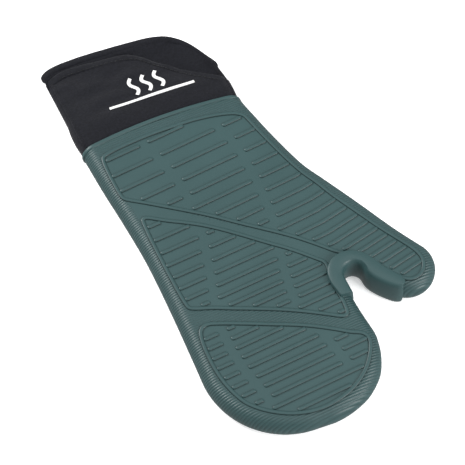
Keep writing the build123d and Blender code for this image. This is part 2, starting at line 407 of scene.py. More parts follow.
@dataclass(frozen=True)
class WovenCotton:
    """Plain-woven cotton: matt, with a soft bloom at grazing angles and a thread grid."""

    name: str = "woven_black_cotton"
    colour: str = "1E1F26"
    deep_colour: str = "050608"
    thread: float = 0.9     # mm between threads, drawn coarser than the real 0.4 mm so that it shows
    sheen: float = 0.05
    fuzz: float = 0.5

    def build(self) -> bpy.types.Material:
        """Make the material."""
        material, tree, shader = blank_material(self.name)
        place = add_node(tree, "ShaderNodeTexCoord").outputs["Object"]
        cloud = add_node(
            tree, "ShaderNodeTexNoise", {"Vector": place, "Scale": 520.0, "Detail": 4.0, "Roughness": 0.6}
        )
        colour = mottle(tree, cloud.outputs["Fac"], self.deep_colour, self.colour)
        tree.links.new(colour, shader.inputs["Base Color"])
        scale = 2 * math.pi / (20 * self.thread * MM)
        wave = {"Vector": place, "Scale": scale, "Distortion": 0.6}
        warp = add_node(tree, "ShaderNodeTexWave", wave, bands_direction="X")
        weft = add_node(tree, "ShaderNodeTexWave", wave, bands_direction="Y")
        weave = add_node(
            tree, "ShaderNodeMath", {0: warp.outputs["Fac"], 1: weft.outputs["Fac"]}, operation="MULTIPLY"
        )
        bump = add_node(
            tree, "ShaderNodeBump", {"Height": weave.outputs[0], "Strength": 0.6, "Distance": 0.15 * MM}
        )
        fuzz = add_node(
            tree, "ShaderNodeBump",
            {"Height": cloud.outputs["Fac"], "Strength": self.fuzz, "Distance": 0.9 * MM,
             "Normal": bump.outputs["Normal"]},
        )
        tree.links.new(fuzz.outputs["Normal"], shader.inputs["Normal"])
        shader.inputs["Roughness"].default_value = 0.92
        shader.inputs["Sheen Weight"].default_value = self.sheen
        shader.inputs["Sheen Roughness"].default_value = 0.5
        shader.inputs["Specular IOR Level"].default_value = 0.15
        return material


@dataclass(frozen=True)
class PrintedInk:
    """White plastisol ink screened on cotton: matt, a little broken by the weave."""

    name: str = "screened_white_ink"
    colour: str = "E6E6E4"
    worn_colour: str = "C9C9C8"

    def build(self) -> bpy.types.Material:
        """Make the material."""
        material, tree, shader = blank_material(self.name)
        place = add_node(tree, "ShaderNodeTexCoord").outputs["Object"]
        cloud = add_node(tree, "ShaderNodeTexNoise", {"Vector": place, "Scale": 700.0, "Detail": 3.0})
        colour = mottle(tree, cloud.outputs["Fac"], self.worn_colour, self.colour)
        tree.links.new(colour, shader.inputs["Base Color"])
        shader.inputs["Roughness"].default_value = 0.75
        return material


@dataclass
class Pattern:
    """The mitt's lines seen from above, in millimetres: outline, panel borders, ribs and their gaps."""

    low: float = 1.1
    high: float = 23.1
    edge: float = 10.4
    rim: float = 108.0
    cut: tuple[Point2, Point2] = ((-95.0, 64.5), (63.5, -76.5))
    thumb_fold: Point2 = (63.5, -76.5)
    thumb_across: Point2 = (0.743, -0.669)
    finger_fold: float = -104.0
    first_rib: float = 95.0
    last_rib: float = -165.0
    rib_pitch: float = 15.5         # at the wrist, and it shrinks towards the knuckles
    pitch_step: float = 0.52
    least_pitch: float = 8.6
    tip_start: float = -105.0       # the fingertips' ribs lie beyond it
    tip_pitch: float = 9.3

    @property
    def mid(self) -> float:
        """The height half way through the mitt."""
        return (self.low + self.high) / 2

    def outline(self) -> list[Point2]:
        """The outer edge, from the rim on the little-finger side round to the rim on the thumb side."""
        side = curve_through([(-82, 108), (-79.9, 72), (-77.2, 38), (-75.2, 0), (-75.9, -43), (-77.9, -88),
                              (-79, -108)])
        tip = arc((-12, -113.5), 67.3, 180, 262, 30)
        tip += curve_through([(-12, -181.2), (-1.8, -182.2), (9.2, -181.4), (18.2, -179.4), (26.6, -176.6),
                              (33, -173), (38.8, -168.9), (43.9, -164.2), (47.7, -158.8), (50.8, -153),
                              (53.3, -146.9), (55.1, -140.4), (56.3, -133.6), (56, -126), (55.4, -118),
                              (54.9, -108), (54.9, -98), (55, -88)], 5)
        crotch = arc((63.5, -85), 8.5, 180, 27, 20)
        thumb = arc((104, -94), 23.5, -153, 23, 36)
        outer = curve_through([(125.6, -84.8), (112.9, -60), (97.9, -26), (84, 4), (74.9, 24), (66.9, 53),
                               (60.4, 83), (56.6, 108)])
        line = side[:-1] + tip + crotch + thumb + outer[1:]
        return resample(line, 1.8)

    def rim_shift(self, x: float, y: float) -> float:
        """How far a point near the wrist is moved along the hand, because the rim is bowed and slants."""
        t = max(0.0, (y - 80.0) / (self.rim - 80.0))
        bow = 4.3 - 0.00116 * (x + 14) ** 2 - 0.045 * (x + 14)
        return bow * t * t * (3 - 2 * min(t, 1.0)) if t < 1 else bow

    def panels(self) -> dict[str, list[Point2]]:
        """The centre lines of the raised borders."""
        sleeve = [(-71, 56), (-71, 93), (-67, 98), (-30, 99.5), (0, 97.5), (14, 96), (29, 93), (44, 88),
                  (50, 83), (51.4, 80), (54.3, 66), (58.6, 48), (63, 31), (68.6, 13), (75, 0), (80, -14),
                  (87, -29), (94, -44), (100, -57), (107, -70), (114, -83), (117, -91), (117, -99),
                  (112, -106), (105, -108.5), (98, -107), (92, -100), (84, -86), (78, -76), (70, -68),
                  (61, -63), (50, -50), (37, -36), (24, -24), (9, -11), (0, -3), (-14, 10), (-29, 22),
                  (-43, 33), (-57, 44), (-68, 52)]
        middle = [(-65.5, 28), (-65.5, -53), (-62, -57), (-47, -63), (-36, -69), (-20, -77), (-1, -87),
                  (14, -96), (29, -106), (38, -112.5), (42.5, -113), (44, -108), (45, -98), (44, -84),
                  (49, -67), (43, -60), (29, -44), (14, -30), (0, -16), (-16, -1), (-30, 10), (-49, 22),
                  (-62, 32)]
        tip = [(-67, -80), (-68.5, -114), (-62, -139), (-54, -150), (-43, -159.5), (-29, -167.5),
               (-12, -172), (5, -171), (20, -167), (36, -157), (46, -144), (48.5, -136), (45, -130.5),
               (38, -127), (29, -120), (14, -109.5), (0, -101.5), (-14, -94.5), (-29, -86.5), (-46, -78),
               (-60, -72)]
        return {"sleeve": rounded(sleeve), "middle": rounded(middle), "tip": rounded(tip)}

    def rows(self) -> list[float]:
        """Where the coarse ribs cross the hand, closest at the knuckles."""
        rows = [self.first_rib]
        pitch = self.rib_pitch
        while rows[-1] > self.last_rib:
            rows.append(rows[-1] - pitch)
            shrunk = max(self.least_pitch, pitch - self.pitch_step)
            pitch = shrunk if rows[-1] > self.tip_start else self.tip_pitch
        return rows

    def gap_left(self, y: float) -> float:
        """The middle of the left wavy gap between the ribs."""
        return value_at([(-150, -42), (-138, -44), (-120, -48), (-100, -50), (-80, -49), (-54, -43),
                         (-42, -38.5), (-18, -32), (-5, -28), (20, -23), (50, -24), (66, -27), (80, -30),
                         (95, -34.5)], y)

    def gap_right(self, y: float) -> float:
        """The middle of the right wavy gap between the ribs."""
        return value_at([(-150, 24.5), (-138, 22), (-120, 18.5), (-100, 14), (-80, 12), (-54, 17),
                         (-35, 24), (-16, 28.5), (0, 30.5), (20, 32.5), (50, 32.5), (67, 30.5), (82, 26),
                         (95, 20)], y)

    def part_at(self, x: float, y: float) -> Part:
        """Which part a point belongs to: the fingers lie beyond the cut line, on their side of the crotch."""
        (x0, y0), (x1, y1) = self.cut
        over = (x1 - x0) * (y - y0) - (y1 - y0) * (x - x0)
        return Part.SLEEVE if over > 0 or x > x1 else Part.FINGERS

    def face_at(self, point: Point2, panels: dict[str, list[Point2]]) -> Face:
        """Which finish the flat skin has at a point: no lines in the panels and the slanting band."""
        if any(inside(point, panel) for panel in panels.values()):
            return Face.PLAIN
        band = [(-71, 56), (63, -60), (50, -70), (-66, 28)]
        return Face.PLAIN if inside(point, band) else Face.RIBBED


@dataclass
class SiliconeShell:
    """The one-piece moulding: skin, raised panel borders, coarse ribs, rim and the thumb crotch's pad."""

    pattern: Pattern
    wall: float = 2.0
    bead_width: float = 3.2
    bead_rise: float = 1.2
    rib_width: float = 3.2
    rib_rise: float = 1.15
    rib_end: float = 0.8            # from the border's centre line to the end of a rib
    gap: float = 6.5                # between the bars of a rib
    bumper_rise: float = 3.9
    panels: dict[str, list[Point2]] = field(default_factory=dict)

    def rings(self, inset: float) -> list[list[Point3]]:
        """The rounded side as rings from the top face round to the bottom face.

        Args:
            inset: How far the whole side is moved in.

        Returns:
            Rings of pattern points, each from wrist to wrist.
        """
        p = self.pattern
        line = p.outline()
        normals = [across(line, i) for i in range(len(line))]
        normals[0], normals[-1] = (1.0, 0.0), (-1.0, 0.0)
        edge = p.edge - inset
        half = (p.high - p.low) / 2 - inset
        flat = max(0.0, half - edge)
        out: list[list[Point3]] = []
        for sign in (1, -1):
            steps = 9
            angles = [math.pi / 2 * (1 - k / steps) for k in range(steps + 1)]
            for a in angles[::sign]:
                push = inset + edge * (1 - math.cos(a))
                z = p.mid + sign * (flat + edge * math.sin(a))
                out.append([(x + nx * push, y + ny * push, z) for (x, y), (nx, ny) in zip(line, normals)])
        return out

    def cap(
        self, boundary: list[Point2], panels: dict[str, list[Point2]], step: float
    ) -> tuple[list[Point2], list[Corners]]:
        """Fill the flat face with triangles that follow the panel borders and the cut line.

        Args:
            boundary: The edge of the flat face.
            panels: Border lines that triangles may not cross.
            step: Spacing of the inner points.

        Returns:
            Points and triangles.
        """
        points = [Vector(b) for b in boundary]
        edges = [(i, i + 1) for i in range(len(points) - 1)] + [(len(points) - 1, 0)]
        lines = [(resample(panel, 2.5, True), True) for panel in panels.values()]
        lines.append((resample(self.pattern.cut, 3.0), False))
        for line, closed in lines:
            first = len(points)
            points += [Vector(q) for q in line]
            edges += [(first + i, first + i + 1) for i in range(len(line) - 1)]
            if closed:
                edges.append((first + len(line) - 1, first))
        y = GRID_FROM[1]
        while y < GRID_TO[1]:
            x = GRID_FROM[0]
            while x < GRID_TO[0]:
                if inside((x, y), boundary):
                    points.append(Vector((x, y)))
                x += step
            y += step
        verts, _, faces, *_ = geometry.delaunay_2d_cdt(points, edges, [], 0, 1e-4)
        keep = []
        for f in faces:
            c = sum((verts[i] for i in f), Vector((0, 0))) / len(f)
            if inside((c.x, c.y), boundary):
                keep.append(tuple(f))
        return [(v.x, v.y) for v in verts], keep

    def skin(self, inset: float, name: str, step: float = 3.5, lines: bool = True) -> dict[Part, Piece]:
        """Build the closed-fingered, open-wristed surface in its two parts.

        Args:
            inset: How far inside the outer surface it lies.
            name: Start of the pieces' names.
            step: Spacing of the points on the flat faces.
            lines: Whether the faces follow the panel borders.

        Returns:
            One object for each part.
        """
        p = self.pattern
        panels = self.panels if lines else {}
        rings = self.rings(inset)
        verts: list[Point3] = []
        faces: list[tuple[Corners, Face]] = []
        count = len(rings[0])
        for ring in rings:
            verts += ring
        faces += [(face, Face.RIBBED) for face in grid_faces(len(rings), count)]
        boundary = [(x, y) for x, y, _ in rings[0]]
        flat, triangles = self.cap(boundary, panels, step)
        for z, turn in ((p.high - inset, False), (p.low + inset, True)):
            first = len(verts)
            verts += [(x, y, z) for x, y in flat]
            for t in triangles:
                corners = [flat[i] for i in t]
                centre = (sum(c[0] for c in corners) / 3, sum(c[1] for c in corners) / 3)
                kind = p.face_at(centre, panels) if lines else Face.PLAIN
                face = tuple(first + i for i in t)
                faces.append((tuple(reversed(face)) if turn else face, kind))
        placed = [to_frame(x, y + p.rim_shift(x, y), z) for x, y, z in verts]
        out: dict[Part, Piece] = {}
        for part in Part:
            chosen = []
            for face, kind in faces:
                cx = sum(verts[i][0] for i in face) / len(face)
                cy = sum(verts[i][1] for i in face) / len(face)
                if p.part_at(cx, cy) is part:
                    chosen.append((face, kind))
            piece = new_piece(f"{name}_{part.value}", placed, [f for f, _ in chosen])
            for polygon, (_, kind) in zip(piece.data.polygons, chosen):
                polygon.material_index = kind.value
            self.drop_loose(piece)
            tidy(piece)
            out[part] = piece
        return out

    @staticmethod
    def drop_loose(piece: Piece) -> None:
        """Remove points that no face uses."""
        bm = bmesh.new()
        bm.from_mesh(piece.data)
        bmesh.ops.delete(bm, geom=[v for v in bm.verts if not v.link_faces], context="VERTS")
        bm.to_mesh(piece.data)
        bm.free()

    def strip(
        self, line: Sequence[Point2], width: float, rise: float, top: bool, closed: bool
    ) -> tuple[list[Vector], list[Corners]]:
        """A raised rounded line that lies on the skin.

        Args:
            line: Its centre line.
            width: Its width.
            rise: Its height over the skin.
            top: Whether it lies on the back or under the palm.
            closed: Whether it runs round to its start.

        Returns:
            Points in the frame and faces.
        """
        p = self.pattern
        verts: list[Vector] = []
        faces: list[Corners] = []
        n, section = len(line), len(STRIP_PAINTED_SHADE)
        for i, (x, y) in enumerate(line):
            nx, ny = across(line, i, closed)
            grow = 1.0
            if not closed:
                reach = min(math.dist((x, y), line[0]), math.dist((x, y), line[-1]))
                grow = math.sqrt(max(0.0, 1 - (1 - min(1.0, reach / (width / 2))) ** 2))
            for k in range(section):
                a = math.pi * k / (section - 1)
                off = width / 2 * math.cos(a) * max(grow, 0.02)
                lift = rise * (math.sin(a) ** 0.6) * grow - 0.12
                z = p.high + lift if top else p.low - lift
                verts.append(to_frame(x + nx * off, y + ny * off, z))
        for i in range(n if closed else n - 1):
            for k in range(section - 1):
                a, b = i * section + k, ((i + 1) % n) * section + k
                faces.append((a, a + 1, b + 1, b) if top else (a, b, b + 1, a + 1))
        return verts, faces

    def cross(self, panel: Sequence[Point2], y: float, tilt: Curve) -> list[Point2]:
        """Where a rib line, y + tilt(x), enters and leaves a panel, as pairs of x."""
        xs = [SCAN_START + SCAN_STEP * i for i in range(SCAN_COUNT)]
        clear = self.rib_width / 2 + RIB_CLEARANCE
        hits = [all(inside((x, y + tilt(x) + side), panel) for side in (-clear, clear)) for x in xs]
        spans: list[Point2] = []
        start: float | None = None
        for x, hit in zip(xs, hits):
            if hit and start is None:
                start = x
            if not hit and start is not None:
                spans.append((start, x))
                start = None
        return spans

    def ribs(self, name: str, part: Part) -> Piece:
        """The coarse ribs and panel borders on both faces of one part."""
        p = self.pattern
        lines: list[tuple[list[Point2], float, float, bool]] = []
        for panel_name, panel in self.panels.items():
            if (panel_name == "sleeve") != (part is Part.SLEEVE):
                continue
            lines.append((resample(panel, 1.6, True), self.bead_width, self.bead_rise, True))
            for row in p.rows():
                def tilt(x: float, sleeve: bool = panel_name == "sleeve") -> float:
                    """How far a rib has moved along the hand at x."""
                    base = 0.05 * x if sleeve else 0.015 * x
                    return base + (0.11 * (x - 62) if sleeve and x > 62 else 0.0)
                for x0, x1 in self.cross(panel, row, tilt):
                    self.add_row(lines, row, x0, x1, tilt, panel_name)
        verts: list[Vector] = []
        faces: list[Corners] = []
        for top in (True, False):
            for line, width, rise, closed in lines:
                v, f = self.strip(line, width, rise, top, closed)
                faces += [tuple(i + len(verts) for i in face) for face in f]
                verts += v
        piece = new_piece(name, verts, faces)
        # Per-point painted shade, darkest at the feet of each raised line.
        painted_foot_shade = piece.data.attributes.new("painted_foot_shade", "FLOAT", "POINT")
        painted_foot_shade.data.foreach_set("value", [STRIP_PAINTED_SHADE[i % len(STRIP_PAINTED_SHADE)] for i in range(len(verts))])
        return piece

    def add_row(
        self, lines: list, row: float, x0: float, x1: float, tilt: Curve, panel_name: str
    ) -> None:
        """Cut one row of a panel at the wavy gaps and add its bars."""
        p = self.pattern
        stops = [x0 + self.rib_end]
        if not (panel_name == "tip" and row < -152):
            for centre in (p.gap_left(row), p.gap_right(row)):
                if x0 + 3 < centre < x1 - 3:
                    stops += [centre - self.gap / 2, centre + self.gap / 2]
        stops.append(x1 - self.rib_end)
        for a, b in zip(stops[::2], stops[1::2]):
            if b - a < 4:
                continue
            xs = [a, a + 0.3, a + 0.8, a + 1.6]
            xs += [a + 1.6 + (b - a - 3.2) * i / 12 for i in range(1, 12)]
            xs += [b - 1.6, b - 0.8, b - 0.3, b]
            lines.append(([(x, row + tilt(x)) for x in xs], self.rib_width, self.rib_rise, False))

    def rim(self, name: str, section: "WristSection") -> Piece:
        """The thicker lip of the moulding round the wrist, with a groove before it."""
        steps = [(-3.4, -0.1), (-3.1, 0.45), (-2.6, 0.7), (-0.9, 0.7), (-0.3, 0.45), (0.0, -0.1), (0.0, -2.0)]
        rows = [[(x, self.pattern.rim + dy, z) for x, z in section.loop(grow)] for dy, grow in steps]
        return section.skin(name, rows, self.pattern)

    def bumper(self, name: str) -> Piece:
        """The thick U-shaped pad round the thumb crotch, standing proud on both faces and in the gap."""
        inner = [(53.3, -98.6), (53.4, -92), (53.6, -86)] + arc((63.6, -84.4), 10.0, 172, 0, 16)
        inner += [(73.5, -89), (75.3, -94), (79.9, -101.1), (85.6, -107.8), (89, -110.8), (91.4, -111)]
        outer = [(44.2, -97.6), (43.4, -92), (42.4, -83), (44.2, -75), (48.6, -69), (54.2, -65.6),
                 (60.5, -64.3), (67, -65.2), (73.4, -68.6), (78.6, -73.2), (82.2, -80.4), (84.6, -86.6),
                 (88.5, -94.1), (92.6, -100.2), (95, -104.6), (95.2, -107.4), (94, -109.2)]
        count = 56
        sides = [resample(rounded(side, 2, False), 1.0) for side in (inner, outer)]
        inner, outer = [
            [side[round(i * (len(side) - 1) / count)] for i in range(count + 1)] for side in sides
        ]
        p = self.pattern
        top, mid = p.high + self.bumper_rise, p.mid
        verts: list[Vector] = []
        # The share of the way from the inner to the outer line, how far out into the gap, and the height.
        section = [(1.0, 0.0, p.high - 0.6), (1.0, 0.0, top - 1.4), (0.965, 0.0, top - 0.45),
                   (0.9, 0.0, top), (0.5, 0.0, top + 0.3), (0.14, 0.0, top + 0.1), (0.0, -0.2, top - 0.5),
                   (0.0, 0.7, top - 1.7), (0.0, 1.5, top - 3.8), (0.0, 2.4, mid + 3), (0.0, 2.8, mid),
                   (0.0, 2.8, mid - 6), (0.0, 2.1, 2.2), (0.0, 0.9, 0.7), (0.05, 0.0, 0.0), (0.9, 0.0, 0.0),
                   (1.0, 0.0, 0.5), (1.0, 0.0, p.low + 0.6)]
        for i, ((xi, yi), (xo, yo)) in enumerate(zip(inner, outer)):
            nx, ny = across(inner, i)
            for share, out, z in section:
                x, y = xi + (xo - xi) * share - nx * out, yi + (yo - yi) * share - ny * out
                verts.append(to_frame(x, y, z))
        columns = len(section)
        faces = grid_faces(count + 1, columns) + end_faces(count + 1, columns, True)
        piece = tidy(new_piece(name, verts, faces))
        bevel = piece.modifiers.new("soft_ends", "BEVEL")
        bevel.width = 0.7 * MM
        bevel.segments = 2
        bevel.limit_method = "ANGLE"
        bevel.angle_limit = math.radians(50)
        apply_all(piece)
        crisp(piece)
        return piece


@dataclass
class WristSection:
    """The rounded flat oval of the wrist, from which the rim and the cuff are drawn."""

    left: float = -82.0
    right: float = 56.6
    low: float = 1.1
    high: float = 23.1
    corner: float = 10.4

    def half(self, grow: float) -> list[Point2]:
        """The upper half from the little-finger side over the back to the thumb side."""
        r = self.corner
        level = self.high - r
        turn = [math.pi / 24 * k for k in range(13)]
        dense = [(self.left + r - r * math.cos(a), level + r * math.sin(a)) for a in turn]
        straight = self.right - self.left - 2 * r
        dense += [(self.left + r + straight * k / 60, self.high) for k in range(1, 60)]
        dense += [(self.right - r + r * math.sin(a), level + r * math.cos(a)) for a in turn]
        line = resample(dense, (self.right - self.left) / 80)
        normals = [across(line, i) for i in range(len(line))]
        normals[0], normals[-1] = (-1.0, 0.0), (1.0, 0.0)
        return [(x + nx * grow, z + nz * grow) for (x, z), (nx, nz) in zip(line, normals)]

    def loop(self, grow: float) -> list[Point2]:
        """The whole oval."""
        upper = self.half(grow)
        mid = (self.low + self.high) / 2
        return upper + [(x, 2 * mid - z) for x, z in reversed(upper[1:-1])]

    @staticmethod
    def skin(name: str, rows: Sequence[Sequence[Point3]], pattern: Pattern) -> Piece:
        """Skin rows of pattern points that run round the wrist."""
        verts = [to_frame(x, y + pattern.rim_shift(x, y), z) for row in rows for x, y, z in row]
        return new_piece(name, verts, grid_faces(len(rows), len(rows[0]), closed=True, flip=True))


@dataclass
class FabricCuff:
    """The sewn cotton cuff: a back panel with a set-back lip, a longer palm panel, hems, seams and print."""

    pattern: Pattern
    section: WristSection
    ply: float = 1.5
    hem: float = 7.5
    start: float = -9.0
    cloth_inset: float = 0.6        # how far the cloth lies inside the section
    fall_length: float = 85.0       # from the rim, over which the cuff flattens
    fall: float = 0.62              # how much of its height it loses
    fullness: float = 1.3           # how far it swells just past the rim
    fullness_length: float = 34.0
    mark_centre: Point2 = (-7.0, 147.0)
    mark_width: float = 74.0
    mark_height: float = 25.0
    mark_turn: float = -0.09        # radians
    lip: list[Point2] = field(default_factory=lambda: curve_through(
        [(-83, 190), (-66, 195), (-44, 193.5), (-24, 190), (-8, 186), (2, 177), (12, 164), (26, 148),
         (40, 136), (50, 129), (58, 124)], 10))
    mouth: list[Point2] = field(default_factory=lambda: curve_through(
        [(-83, 197), (-77, 202.5), (-66, 205), (-45, 204.5), (-20, 202), (5, 199), (20, 196), (32, 191),
         (42, 183), (50, 171), (55, 156), (58, 138)], 10))

    def half(self, grow: float, upper: bool) -> list[Point2]:
        """The back or the palm half of the section, grown by a distance."""
        mirror = self.pattern.low + self.pattern.high
        return [(x, z if upper else mirror - z) for x, z in self.section.half(grow)]

    def surface(self, x: float, z: float, y: float, upper: bool) -> Vector:
        """Place a point of the cuff, with its fullness over the rim, its fall to the mouth and soft folds."""
        p = self.pattern
        t = min(1.0, max(0.0, (y - p.rim) / self.fall_length))
        swell = min(1.0, max(0.0, (y - p.rim) / self.fullness_length))
        puff = math.sin(swell * math.pi) * self.fullness if y > p.rim else 0.0
        flat = 1 - self.fall * t**1.4
        if upper:
            z = 1.6 + (z - 1.6) * flat if z > p.mid else z * flat + p.mid * (1 - flat) * 0.35
        else:
            z = 1.4 + (z - p.low) * flat + 4.5 * t**6
        centre = (self.section.left + self.section.right) / 2
        side = (x - centre) / ((self.section.right - self.section.left) / 2)
        spread = x + math.copysign(abs(side) ** 6 * puff * 1.1, side)
        q = Vector((x * 0.03, y * 0.035, 4.0 if upper else 9.0))
        fold = noise.noise(q) * 1.6 + noise.noise(q * 2.7) * 0.7
        pull = noise.noise(Vector((x * 0.016 + y * 0.05, (y - x * 0.35) * 0.075, 2.0))) * 1.8
        edge = min(1.0, max(0.0, (y - p.rim - 2) / 16)) * max(0.0, 1 - abs(side) ** 8)
        lift = (fold + pull) * edge * (0.35 + 0.9 * t) + (puff if upper else 0.0) * (1 - abs(side) ** 4)
        z = z + lift if upper else max(1.1, z + 0.35 * abs(lift))
        return to_frame(spread, y + p.rim_shift(x, min(y, p.rim)) * max(0.0, 1 - t * 1.6), z)

    def panel(self, name: str, upper: bool, begin: Curve, end: Curve, rows: int) -> Piece:
        """A panel of the cuff between two curves across it.

        Args:
            name: The piece's name.
            upper: Back or palm.
            begin: Where it starts at each x.
            end: Where it ends at each x.
            rows: How many rows of faces it has along the hand.

        Returns:
            The piece, as a sheet with no thickness yet.
        """
        half = self.half(-self.cloth_inset, upper)
        verts: list[Vector] = []
        for r in range(rows + 1):
            verts += [self.surface(x, z, begin(x) + (end(x) - begin(x)) * (r / rows), upper) for x, z in half]
        faces = grid_faces(rows + 1, len(half))
        if upper:
            faces = [tuple(reversed(f)) for f in faces]
        return tidy(new_piece(name, verts, faces))

    def band(
        self, name: str, upper: bool, begin: Curve, end: Curve, height: float, grow: float
    ) -> Piece:
        """A hem: the cloth rolled over a filler into a soft oval band that follows the mouth.

        Args:
            name: The piece's name.
            upper: Back or palm.
            begin: Its edge towards the hand at each x.
            end: Its free edge at each x.
            height: How thick it is.
            grow: How far its middle stands off the section.

        Returns:
            The closed piece.
        """
        half = self.half(grow, upper)
        near = [self.surface(x, z, begin(x), upper) for x, z in half]
        far = [self.surface(x, z, end(x), upper) for x, z in half]
        count, ring = len(half), 14
        verts: list[Vector] = []
        for i in range(count):
            before, after = max(0, i - 1), min(count - 1, i + 1)
            along = (near[after] + far[after] - near[before] - far[before]).normalized()
            width = far[i] - near[i]
            away = width.cross(along).normalized() * (-1 if upper else 1)
            if away.z * (1 if upper else -1) < -0.2:
                away = -away
            left = min(i, count - 1 - i)
            size = (0.45, 0.8, 0.95)[left] if left < 3 else 1.0
            centre = (near[i] + far[i]) / 2
            for k in range(ring):
                a = 2 * math.pi * k / ring
                c, w = math.cos(a), math.sin(a)
                flat = math.copysign(abs(w) ** 0.75, w)
                verts.append(centre + width * 0.5 * c * size + away * height / 2 * MM * flat * size)
        faces = grid_faces(count, ring, closed=True) + end_faces(count, ring)
        return tidy(new_piece(name, verts, faces))

    def seam(self, name: str, at: float, end: float) -> Piece:
        """The ridge of a side seam, where the two panels are sewn together and turned.

        Args:
            name: The piece's name.
            at: Which x it runs at.
            end: How far along the hand it runs.

        Returns:
            The piece.
        """
        x, z = min(self.half(-self.cloth_inset, True), key=lambda q: abs(q[0] - at))
        start = self.pattern.rim + 1.0
        count, ring = 48, 8
        verts: list[Vector] = []
        for i in range(count + 1):
            middle = self.surface(x, z, start + (end - start) * i / count, True)
            size = 1.0 if 1 < i < count - 1 else 0.4
            for k in range(ring):
                a = 2 * math.pi * k / ring
                verts.append(middle + Vector((1.1 * math.cos(a), 0, 0.75 * math.sin(a))) * MM * size)
        faces = grid_faces(count + 1, ring, closed=True, flip=True) + end_faces(count + 1, ring, True)
        return tidy(new_piece(name, verts, faces))

    def row_of_stitches(self, name: str, upper: bool, curve: Curve, x0: float, x1: float) -> Piece:
        """Sewing thread laid over the cloth along a curve."""
        half = self.half(-self.cloth_inset, upper)
        line = [self.surface(x, z, curve(x), upper) for x, z in half if x0 <= x <= x1]
        dense: list[Vector] = []
        for a, b in zip(line, line[1:]):
            dense += [a.lerp(b, k / 4) for k in range(4)]
        verts: list[Vector] = []
        faces: list[Corners] = []
        travel = 0.0
        lift = Vector((0, 0, (self.ply / 2 + 0.35) * MM))
        for a, b in zip(dense, dense[1:]):
            travel += (b - a).length / MM
            if travel % STITCH_PITCH > STITCH_LENGTH:
                continue
            along = (b - a).normalized()
            side = along.cross(Vector((0, 0, 1))).normalized() * 0.32 * MM
            up = Vector((0, 0, 0.3 * MM))
            first = len(verts)
            for q in (a + lift, b + lift):
                verts += [q - side, q + up * 0.7 - side * 0.6, q + up, q + up * 0.7 + side * 0.6, q + side]
            faces += [(first + k, first + k + 1, first + 6 + k, first + 5 + k) for k in range(4)]
        return tidy(new_piece(name, verts, faces), 1e-6)

    def mark(self, name: str, sheet: Piece) -> Piece:
        """Three rising heat waves over a bar, printed on the back panel.

        Args:
            name: The piece's name.
            sheet: The back panel that it is printed on.

        Returns:
            The piece.
        """
        foot, rise = -self.mark_height / 2, self.mark_height - 6
        shares = [k / 16 for k in range(17)]
        lines: list[list[Point2]] = [[(-self.mark_width / 2, foot), (self.mark_width / 2, foot)]]
        for middle in (-11.0, 0.0, 11.0):
            lines.append([(middle + 2.6 * math.sin(t * 2 * math.pi), foot + 6 + rise * t) for t in shares])
        verts: list[Vector] = []
        faces: list[Corners] = []
        c, w = math.cos(self.mark_turn), math.sin(self.mark_turn)
        for line in lines:
            line = [(x * c - y * w, x * w + y * c) for x, y in resample(line, 0.8)]
            for i, (x, y) in enumerate(line):
                nx, ny = across(line, i)
                for k in (-1.5, -0.75, 0.0, 0.75, 1.5):
                    q = to_frame(self.mark_centre[0] + x + nx * k, self.mark_centre[1] + y + ny * k, 60)
                    hit, where, _, _ = sheet.ray_cast(q, Vector((0, 0, -1)))
                    verts.append(where + Vector((0, 0, 0.12 * MM)) if hit else q)
                if i:
                    a, b = len(verts) - 10, len(verts) - 5
                    faces += [(a + k, b + k, b + k + 1, a + k + 1) for k in range(4)]
        piece = tidy(new_piece(name, verts, faces))
        if sum(f.normal.z for f in piece.data.polygons) < 0:
            piece.data.flip_normals()
        return piece


